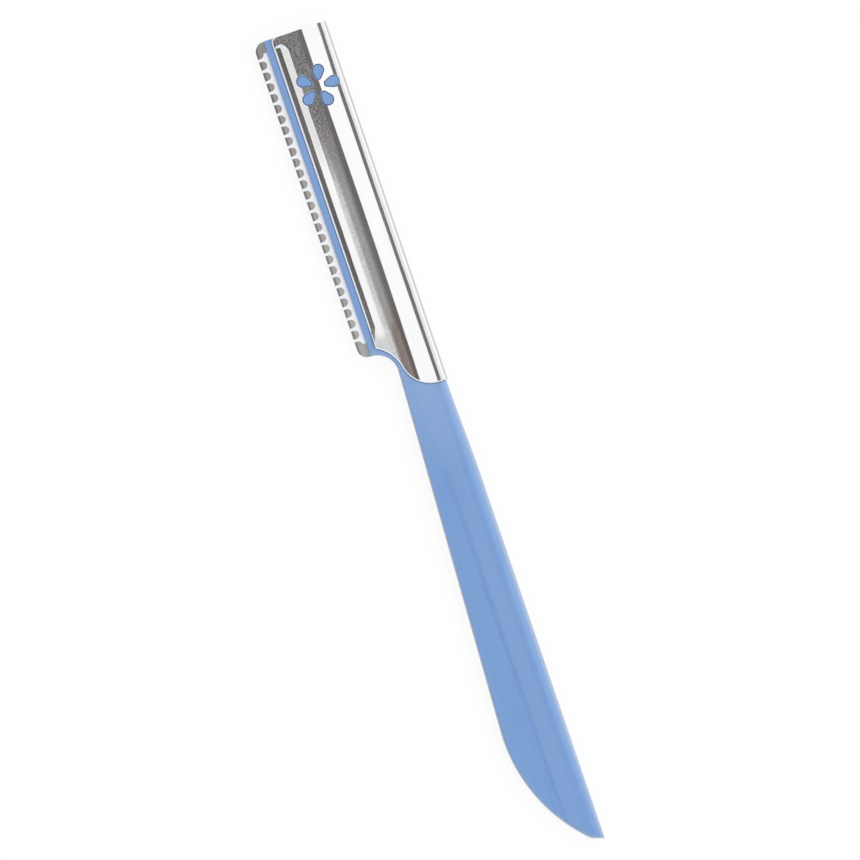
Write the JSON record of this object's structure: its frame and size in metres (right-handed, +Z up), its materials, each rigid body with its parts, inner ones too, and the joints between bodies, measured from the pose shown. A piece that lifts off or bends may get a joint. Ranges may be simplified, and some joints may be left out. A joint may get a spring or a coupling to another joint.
{
  "type": "eyebrow razor",
  "caption": "Slim straight razor for shaping eyebrows: a moulded handle, a folded sheet cover on its spine and a thin guarded blade.",
  "frame": {"origin": "centre of the bounding box in plan, at the level of the surface the razor lies on", "axes": "+X from the head end to the pointed tail, +Y from the cutting edge to the spine, +Z up out of the side that faces the camera"},
  "size_m": [0.152, 0.0136, 0.0038],
  "materials": {
    "handle": "gloss",
    "spine_cover": "satin",
    "blade": "satin",
    "edge_guard": "satin"
  },
  "bodies": {
    "root": {"handle": "handle", "spine_cover": "spine_cover", "blade": "blade", "edge_guard": "edge_guard"}
  },
  "joints": []
}
